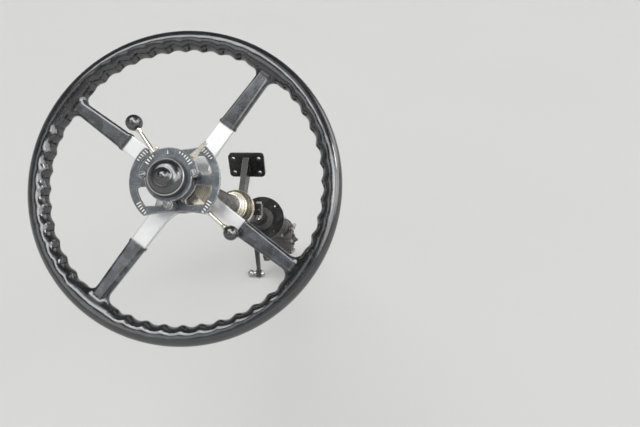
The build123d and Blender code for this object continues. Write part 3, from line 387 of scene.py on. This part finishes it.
def aged_nickel():
    # Tarnished turned metal: lathe rings round the column, cream where it is still bright, olive where it isn't
    material, tree, shader = new_finish("turned_metal", Metallic=1.0)
    place = use(tree, "column_place")
    run = calc(tree, "ADD", place["Radius"], place["Height"])
    rings = calc(tree, "SINE", scaled(tree, run, 2 * pi / COLLAR_RING_PITCH))
    clouds = use(tree, "mottle", Scale=48.0, Low=0.4, High=0.7)["Mask"]
    in_corners = use(tree, "crevice", Reach=0.006)["Mask"]
    worn = use(tree, "edge_mask", Width=0.0012, Breakup=150.0)["Mask"]
    bright = blend(tree, clouds, (0.8, 0.76, 0.66, 1), (0.6, 0.54, 0.43, 1))
    dull = blend(tree, clouds, (0.2, 0.18, 0.13, 1), (0.1, 0.085, 0.06, 1))
    tarnish = calc(tree, "MULTIPLY", between(tree, place["Radius"], *TARNISH_START),
                   between(tree, place["Radius"], *TARNISH_END, 1.0, 0.0))
    colour = blend(tree, tarnish, bright, dull)
    # Darker in corners and crevices, by ambient occlusion
    colour = blend(tree, scaled(tree, in_corners, 0.85), colour, (0.05, 0.042, 0.032, 1))
    colour = blend(tree, scaled(tree, worn, 0.7), colour, (0.84, 0.8, 0.71, 1))
    dress(tree, shader, Base_Color=colour, Roughness=spread(tree, clouds, 0.27, 0.44))
    relief(tree, shader, rings, 0.00002, 0.6)
    return material


def enamel():
    # Black stove enamel, chipped to grey metal on its edges
    material, tree, shader = new_finish("black_enamel", IOR=1.4)
    clouds = use(tree, "mottle", Scale=40.0, Low=0.42, High=0.7)["Mask"]
    worn = use(tree, "edge_mask", Width=0.0014, Breakup=120.0)["Mask"]
    chips = use(tree, "mottle", Scale=150.0, Low=0.66, High=0.68)["Mask"]
    bare = calc(tree, "MAXIMUM", worn, chips)
    colour = blend(tree, clouds, (0.009, 0.009, 0.01, 1), (0.022, 0.021, 0.02, 1))
    colour = blend(tree, bare, colour, (0.2, 0.17, 0.14, 1))
    dress(tree, shader, Base_Color=colour, Metallic=scaled(tree, bare, 0.8),
          Roughness=spread(tree, clouds, 0.26, 0.48))
    relief(tree, shader, calc(tree, "SUBTRACT", scaled(tree, clouds, 0.4), bare), 0.00006)
    return material


def iron():
    # Painted rough casting, oily in its corners and rubbed on its edges
    material, tree, shader = new_finish("cast_iron")
    place = object_place(tree)
    grain = noise(tree, place, 620.0, 5.0, 0.7)
    lumps = noise(tree, place, 90.0, 3.0, 0.5)
    clouds = use(tree, "mottle", Scale=30.0, Low=0.4, High=0.7)["Mask"]
    worn = use(tree, "edge_mask", Width=0.002, Breakup=110.0)["Mask"]
    oil = use(tree, "crevice", Reach=0.014)["Mask"]
    colour = blend(tree, clouds, (0.03, 0.03, 0.031, 1), (0.062, 0.055, 0.048, 1))
    colour = blend(tree, scaled(tree, worn, 0.8), colour, (0.2, 0.16, 0.125, 1))
    colour = blend(tree, scaled(tree, oil, 0.8), colour, (0.012, 0.01, 0.008, 1))
    rough = calc(tree, "SUBTRACT", spread(tree, clouds, 0.5, 0.68), scaled(tree, oil, 0.22))
    dress(tree, shader, Base_Color=colour, Roughness=rough)
    relief(tree, shader, calc(tree, "ADD", scaled(tree, grain, 0.5), lumps), 0.0004, 0.7)
    return material


def steel():
    # Machined steel with a brown bloom of rust
    material, tree, shader = new_finish("machined_steel")
    clouds = use(tree, "mottle", Scale=60.0, Low=0.5, High=0.68)["Mask"]
    scratches = use(tree, "scratches", Scale=280.0)["Height"]
    colour = blend(tree, clouds, (0.45, 0.44, 0.42, 1), (0.2, 0.13, 0.085, 1))
    rough = calc(tree, "ADD", spread(tree, clouds, 0.32, 0.62), scaled(tree, scratches, 0.1))
    dress(tree, shader, Base_Color=colour, Metallic=spread(tree, clouds, 1.0, 0.35), Roughness=rough)
    relief(tree, shader, calc(tree, "SUBTRACT", clouds, scratches), 0.00004)
    return material


def rubber():
    # Perished black rubber, cracked all over and greyed on its edges
    material, tree, shader = new_finish("perished_rubber")
    clouds = use(tree, "mottle", Scale=75.0, Low=0.4, High=0.7)["Mask"]
    worn = use(tree, "edge_mask", Width=0.0016, Breakup=200.0)["Mask"]
    cells = add(tree, "ShaderNodeTexVoronoi", {"feature": "DISTANCE_TO_EDGE"}, Vector=object_place(tree), Scale=420.0)
    colour = blend(tree, calc(tree, "MAXIMUM", clouds, worn), (0.016, 0.016, 0.017, 1), (0.07, 0.068, 0.064, 1))
    dress(tree, shader, Base_Color=colour, Roughness=spread(tree, clouds, 0.62, 0.84))
    relief(tree, shader, between(tree, cells.outputs["Distance"], 0.0, 0.06), 0.0001)
    return material


def white_filling():
    # Old white paint pressed in the engraved marks
    material, tree, shader = new_finish("white_filling")
    clouds = use(tree, "mottle", Scale=260.0, Low=0.45, High=0.7)["Mask"]
    colour = blend(tree, clouds, (0.74, 0.73, 0.69, 1), (0.38, 0.37, 0.34, 1))
    dress(tree, shader, Base_Color=colour, Roughness=spread(tree, clouds, 0.5, 0.75))
    relief(tree, shader, clouds, 0.00005)
    return material


FINISHES = {
    "ebonite": ebonite(),
    "alloy": alloy(),
    "gunmetal": gunmetal(),
    "nickel": nickel(),
    "dome_black": dome_black(),
    "aged_nickel": aged_nickel(),
    "enamel": enamel(),
    "iron": iron(),
    "steel": steel(),
    "rubber": rubber(),
    "rubbed_ring": rubbed_ring(),
    "white_filling": white_filling(),
}

# Each CAD piece comes with a material that has its slot's name, which may be followed by a dot and a number
for node in frame["nodes"].values():
    node.data.materials[0] = FINISHES[node.data.materials[0].name.split(".")[0]]


# ---------------------------------------------------------------- modelling, in millimetres

ROUND_SIDES = 36
TOUCHING = 1e-4
SHARP_ANGLE = 32             # degrees between faces from which their edge stays sharp


def soften(mesh, level, width):
    # Bevel the edges that lie above a level
    rim = [edge for edge in mesh.edges if all(vert.co.z > level for vert in edge.verts)]
    bmesh.ops.bevel(mesh, geom=rim, offset=width, segments=2, profile=0.5, affect="EDGES", material=-1)


def lathe(outline):
    # Solid turned about Z from points given as (radius, height)
    mesh = bmesh.new()
    points = [mesh.verts.new((radius, 0, height)) for radius, height in outline]
    edges = [mesh.edges.new(pair) for pair in zip(points, points[1:])]
    bmesh.ops.spin(mesh, geom=points + edges, cent=(0, 0, 0), axis=(0, 0, 1), angle=2 * pi, steps=ROUND_SIDES,
                   use_merge=True)
    bmesh.ops.remove_doubles(mesh, verts=mesh.verts, dist=TOUCHING)
    bmesh.ops.recalc_face_normals(mesh, faces=mesh.faces)
    return mesh


def prism(radius, height, sides, chamfer):
    # Upright prism with its top edges bevelled
    mesh = bmesh.new()
    bmesh.ops.create_circle(mesh, cap_ends=True, radius=radius, segments=sides)
    grown = bmesh.ops.extrude_face_region(mesh, geom=mesh.faces[:])
    tops = [part for part in grown["geom"] if isinstance(part, bmesh.types.BMVert)]
    bmesh.ops.translate(mesh, verts=tops, vec=(0, 0, height))
    soften(mesh, height / 2, chamfer)
    bmesh.ops.recalc_face_normals(mesh, faces=mesh.faces)
    return mesh


def slotted_head(radius, height, slot):
    # Round screw head with a straight slot, along Y, sunk in its top
    chamfer = height * 0.3
    slot_reach = radius * 0.86
    slot_depth = height * 0.55
    mesh = prism(radius, height, ROUND_SIDES, chamfer)
    for way, half in ((Vector((1, 0, 0)), slot / 2), (Vector((0, 1, 0)), slot_reach)):
        for side in (1, -1):
            bmesh.ops.bisect_plane(mesh, geom=mesh.verts[:] + mesh.edges[:] + mesh.faces[:], dist=TOUCHING,
                                   plane_co=way * half * side, plane_no=way)
    floor = []
    for face in mesh.faces:
        middle = face.calc_center_median()
        on_top = face.normal.z > 0.99 and middle.z > height - chamfer / 2
        if on_top and abs(middle.x) < slot / 2 and abs(middle.y) < slot_reach:
            floor.append(face)
    sunk = bmesh.ops.extrude_face_region(mesh, geom=floor)
    bmesh.ops.delete(mesh, geom=floor, context="FACES")
    lowered = [part for part in sunk["geom"] if isinstance(part, bmesh.types.BMVert)]
    bmesh.ops.translate(mesh, verts=lowered, vec=(0, 0, -slot_depth))
    bmesh.ops.recalc_face_normals(mesh, faces=mesh.faces)
    return mesh


def bar(length, width, height, taper=1.0):
    # Low bar along X with its top edges bevelled, narrower by the taper at its far end
    mesh = bmesh.new()
    bmesh.ops.create_cube(mesh, size=1.0, matrix=Matrix.Diagonal((length, width, height, 1)))
    for vert in mesh.verts:
        if vert.co.x > 0:
            vert.co.y *= taper
    soften(mesh, 0, height * 0.4)
    return mesh


def shift(x, y, z):
    return Matrix.Translation((x, y, z))


def turn(angle, axis="Z"):
    return Matrix.Rotation(radians(angle), 4, axis)


def metres(place):
    # The same place with its shift read as millimetres
    moved = place.copy()
    moved.translation = place.translation * MM
    return moved


def joined(parts):
    # One bmesh from pairs of a bmesh and the place it goes to
    whole = bmesh.new()
    for part, place in parts:
        part.transform(place)
        mesh = bpy.data.meshes.new("part")
        part.to_mesh(mesh)
        part.free()
        whole.from_mesh(mesh)
        bpy.data.meshes.remove(mesh)
    return whole


def finished(name, mesh, place, body, slot):
    # Object from a bmesh in millimetres, its mesh set in place in the row frame, riding on its body
    mesh.transform(place @ Matrix.Scale(MM, 4))
    data = bpy.data.meshes.new(name)
    mesh.to_mesh(data)
    mesh.free()
    data.shade_smooth()
    data.set_sharp_from_angle(angle=radians(SHARP_ANGLE))
    piece = bpy.data.objects.new(name, data)
    bpy.context.scene.collection.objects.link(piece)
    data.materials.append(FINISHES[slot])
    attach(piece, body)


# ---------------------------------------------------------------- screws and marks of the two plates

HEAD_TURN = 2.2              # anticlockwise turn of both plates, in degrees
HEAD = COLUMN @ turn(HEAD_TURN)
PLATE_TOP = reach("quadrant_plate", AXIS)[1]
UPPER_TOP = reach("mixture_plate", AXIS)[1]

# Lugs of the upper plate: angle and reach of each screw, and turn of its slot
LUGS = [
    {"name": "right", "angle": 10, "reach": 34.5, "slot": 25},
    {"name": "left", "angle": 170, "reach": 34.5, "slot": 100},
    {"name": "low", "angle": 270, "reach": 35.5, "slot": 145},
]
LUG_SCREW = {"radius": 4.3, "height": 1.7, "slot": 0.9}
LUG_SCREW_SUNK = 0.1

MARK_WIDTH = 1.5
MARK_DEPTH = 0.3
MARK_LIFT = MARK_DEPTH / 3   # height of a mark's middle over the plate

# Rows of graduations: angle of the row's middle and length of each mark, in millimetres
QUADRANT_RADIUS = 60.5       # outer ends of the marks
QUADRANT_PITCH = 4.0         # degrees from mark to mark
QUADRANT_LENGTHS = [3.6, 4.3, 5.0, 5.7, 6.4]
QUADRANT_ROWS = [
    {"angle": 141, "lengths": QUADRANT_LENGTHS[::-1]},
    {"angle": 219, "lengths": QUADRANT_LENGTHS[::-1]},
    {"angle": 38, "lengths": QUADRANT_LENGTHS},
    {"angle": -40, "lengths": QUADRANT_LENGTHS},
]
UPPER_RADIUS = 38.2
UPPER_PITCH = 6.5
UPPER_ROWS = [
    {"angle": 134, "lengths": [3.4, 4.2, 5.0, 5.8]},
    {"angle": 48.5, "lengths": [5.8, 5.2, 4.6, 4.0, 3.4, 2.8]},
]
POINTER = {"length": 6.0, "width": 1.8, "height": MARK_DEPTH, "taper": 0.15}
POINTER_ANGLE = 91
POINTER_REACH = 35.0


def lug_screws():
    for lug in LUGS:
        place = turn(lug["angle"]) @ shift(lug["reach"], 0, UPPER_TOP - LUG_SCREW_SUNK)
        place = place @ turn(lug["slot"] - lug["angle"])
        finished("lug_screw_" + lug["name"], slotted_head(**LUG_SCREW), HEAD @ metres(place), "column", "gunmetal")


def graduations(rows, radius, pitch, face):
    # Radial marks in rows along an arc, their outer ends in line
    marks = []
    for row in rows:
        first = row["angle"] - (len(row["lengths"]) - 1) / 2 * pitch
        for index, length in enumerate(row["lengths"]):
            place = turn(first + index * pitch) @ shift(radius - length / 2, 0, face + MARK_LIFT)
            marks.append((bar(length, MARK_WIDTH, MARK_DEPTH), place))
    return marks


def plate_marks():
    # Plain graduations and a pointer, filled with white
    marks = graduations(QUADRANT_ROWS, QUADRANT_RADIUS, QUADRANT_PITCH, PLATE_TOP)
    finished("quadrant_marks", joined(marks), HEAD, "column", "white_filling")
    marks = graduations(UPPER_ROWS, UPPER_RADIUS, UPPER_PITCH, UPPER_TOP)
    marks.append((bar(**POINTER), turn(POINTER_ANGLE) @ shift(POINTER_REACH, 0, UPPER_TOP + MARK_LIFT)))
    finished("upper_plate_marks", joined(marks), HEAD, "column", "white_filling")


# ---------------------------------------------------------------- bolts of the steering box and relay levers

WASHER_THICKNESS = 1.2
WASHER_EDGE = 0.8            # height of its upright edge
WASHER_BEVEL = 0.5
WASHER_BORE = 0.45           # as a share of its radius
BOLT_CORNER = 0.577          # a hexagon's corner radius as a share of its width over flats
BOLT_CHAMFER = 0.6
OUTWARD = turn(90, "Y")      # turns Z to +X

COVER_THICKNESS = 7.0
COVER_FACE = reach("box_side_cover", RIGHT, ORIGIN)[0] + COVER_THICKNESS
COVER_BOLTS = 6
COVER_BOLT_REACH = 48.0
COVER_BOLT = {"flats": 11, "height": 5.5, "washer": 7.2}

CAP_THICKNESS = 9.0
CAP_FACE = reach("box_end_cap", AXIS)[1] - CAP_THICKNESS
CAP_BOLTS = 4
CAP_BOLT_REACH = 26.5
CAP_BOLT = {"flats": 8, "height": 4.2, "washer": 5.2}

# Relay levers: angle of the arm and radius of its boss
RELAYS = [
    {"name": "throttle", "angle": 20, "boss": 11.3},
    {"name": "ignition", "angle": 95, "boss": 9.8},
    {"name": "mixture", "angle": 160, "boss": 8.3},
]
RELAY_SCREW = {"flats": 6, "height": 3.6, "washer": 3.9}
RELAY_SCREW_SUNK = 1.0


def hex_bolt(flats, height, washer):
    # Hexagon head on a washer of the given radius
    bore = washer * WASHER_BORE
    ring = lathe([(bore, 0), (washer, 0), (washer, WASHER_EDGE), (washer - WASHER_BEVEL, WASHER_THICKNESS),
                  (bore, WASHER_THICKNESS)])
    head = prism(flats * BOLT_CORNER, height, 6, BOLT_CHAMFER)
    return joined([(ring, Matrix.Identity(4)), (head, shift(0, 0, WASHER_THICKNESS))])


def cover_bolts():
    for index in range(COVER_BOLTS):
        angle = radians(360 / COVER_BOLTS * (index + 0.5))
        place = shift(COVER_FACE, COVER_BOLT_REACH * cos(angle), COVER_BOLT_REACH * sin(angle)) @ OUTWARD
        finished(f"cover_bolt_{index + 1}", hex_bolt(**COVER_BOLT), metres(place), "column", "steel")


def cap_bolts():
    for index in range(CAP_BOLTS):
        place = turn(360 / CAP_BOLTS * (index + 0.5)) @ shift(CAP_BOLT_REACH, 0, CAP_FACE) @ turn(180, "X")
        finished(f"cap_bolt_{index + 1}", hex_bolt(**CAP_BOLT), COLUMN @ metres(place), "column", "steel")


def relay_screws():
    # Pinch screw in each lever's boss, on the side away from its arm
    for relay in RELAYS:
        middle = sum(reach("relay_lever_" + relay["name"], AXIS)) / 2
        place = turn(relay["angle"] + 180) @ shift(relay["boss"] - RELAY_SCREW_SUNK, 0, middle) @ OUTWARD
        finished("relay_screw_" + relay["name"], hex_bolt(**RELAY_SCREW), COLUMN @ metres(place), "column", "steel")


lug_screws()
plate_marks()
cover_bolts()
cap_bolts()
relay_screws()


# ---------------------------------------------------------------- stage, light and camera

FLOOR_RADIUS = 60.0          # metres
FLOOR_GAP = 0.002            # under the lowest point

# Soft lights of the studio: azimuth from +X towards +Y, elevation, half width at full and at no strength
# (all in degrees) and radiance
SKY_LIGHTS = [
    {"azimuth": -60, "elevation": 80, "full": 8, "none": 28, "radiance": 0.7},      # overhead
    {"azimuth": -146, "elevation": 82, "full": 4, "none": 14, "radiance": 4.2},     # its bright middle
    {"azimuth": -62, "elevation": 46, "full": 7, "none": 18, "radiance": 5.0},      # bright arc high behind
    {"azimuth": -82, "elevation": 67, "full": 7, "none": 15, "radiance": 4.3},
    {"azimuth": -148, "elevation": 64, "full": 9, "none": 18, "radiance": 4.0},
    {"azimuth": -42, "elevation": 28, "full": 9, "none": 23, "radiance": 2.9},      # three along the right
    {"azimuth": -8, "elevation": 22, "full": 8, "none": 23, "radiance": 2.6},
    {"azimuth": 28, "elevation": 22, "full": 8, "none": 23, "radiance": 2.1},
    {"azimuth": -121, "elevation": 31, "full": 10, "none": 19, "radiance": 1.25},   # for faces square to the driver
]
SIDE_SUN = {"azimuth": -7, "elevation": 33, "width": 11, "strength": 0.25}

# The rest of the sky: horizon colour up to the first elevation, surround colour from the second
HORIZON = (0.46, 0.46, 0.45, 1)
SURROUND = (0.09, 0.092, 0.097, 1)
HORIZON_TOP = 8
SURROUND_START = 36

# Camera at the photograph's place, in the column frame: millimetres, degrees, and millimetres of lens
CAMERA_PLACE = (231.6, -95.56, 644.8)
CAMERA_YAW = 3.03
CAMERA_PITCH = 4.96
CAMERA_ROLL = 0.91
CAMERA_LENS = 25.875


def floor_disc():
    material, tree, shader = new_finish("pale_floor", Roughness=0.9)
    tint = noise(tree, object_place(tree), 0.6, 3.0, 0.5)
    dress(tree, shader, Base_Color=blend(tree, tint, (0.51, 0.51, 0.5, 1), (0.54, 0.54, 0.53, 1)))
    mesh = bmesh.new()
    bmesh.ops.create_circle(mesh, cap_ends=True, radius=FLOOR_RADIUS, segments=96)
    bmesh.ops.translate(mesh, verts=mesh.verts, vec=(0, 0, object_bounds()[0].z - FLOOR_GAP))
    data = bpy.data.meshes.new("floor")
    mesh.to_mesh(data)
    mesh.free()
    floor = bpy.data.objects.new("floor", data)
    bpy.context.scene.collection.objects.link(floor)
    data.materials.append(material)


def way_to(light):
    azimuth, elevation = radians(light["azimuth"]), radians(light["elevation"])
    return Vector((cos(elevation) * cos(azimuth), cos(elevation) * sin(azimuth), sin(elevation)))


def sky():
    # Horizon and surround, with the soft lights seen by everything but the camera
    world = bpy.data.worlds.new("studio")
    bpy.context.scene.world = world
    world.use_nodes = True
    tree = world.node_tree
    tree.nodes.clear()
    way = add(tree, "ShaderNodeTexCoord").outputs["Generated"]
    rise = add(tree, "ShaderNodeSeparateXYZ", i0=way).outputs[2]
    climb = between(tree, rise, sin(radians(HORIZON_TOP)), sin(radians(SURROUND_START)))
    total = blend(tree, climb, HORIZON, SURROUND)
    lit = calc(tree, "SUBTRACT", 1.0, add(tree, "ShaderNodeLightPath").outputs["Is Camera Ray"])
    for light in SKY_LIGHTS:
        none, full = cos(radians(light["none"])), cos(radians(light["full"]))
        glow = between(tree, dot_product(tree, way, way_to(light)), none, full, 0.0, light["radiance"])
        level = calc(tree, "MULTIPLY", lit, glow)
        grey = add(tree, "ShaderNodeCombineXYZ", X=level, Y=level, Z=level).outputs[0]
        total = add(tree, "ShaderNodeVectorMath", {"operation": "ADD"}, i0=total, i1=grey).outputs[0]
    background = add(tree, "ShaderNodeBackground", Color=total)
    output = tree.nodes.new("ShaderNodeOutputWorld")
    tree.links.new(background.outputs[0], output.inputs[0])


def side_sun():
    lamp = bpy.data.lights.new("side_sun", "SUN")
    lamp.energy = SIDE_SUN["strength"]
    lamp.angle = radians(SIDE_SUN["width"])
    holder = bpy.data.objects.new("side_sun", lamp)
    holder.rotation_euler = way_to(SIDE_SUN).to_track_quat("Z", "Y").to_euler()
    bpy.context.scene.collection.objects.link(holder)


def camera():
    yaw, pitch, roll = radians(CAMERA_YAW), radians(CAMERA_PITCH), radians(CAMERA_ROLL)
    forward = Vector((-sin(yaw) * cos(pitch), sin(pitch), -cos(yaw) * cos(pitch)))
    side = Vector((cos(yaw), 0, -sin(yaw)))
    up = side.cross(forward)
    tilted_side = side * cos(roll) + up * sin(roll)
    tilted_up = up * cos(roll) - side * sin(roll)
    axes = Matrix((tilted_side, tilted_up, -forward)).transposed().to_4x4()
    lens = bpy.data.cameras.new("camera")
    lens.lens = CAMERA_LENS
    view = bpy.data.objects.new("camera", lens)
    view.matrix_world = COLUMN @ Matrix.Translation(Vector(CAMERA_PLACE) * MM) @ axes
    bpy.context.scene.collection.objects.link(view)
    bpy.context.scene.camera = view


floor_disc()
sky()
side_sun()
camera()
bpy.context.scene.view_settings.view_transform = "Standard"
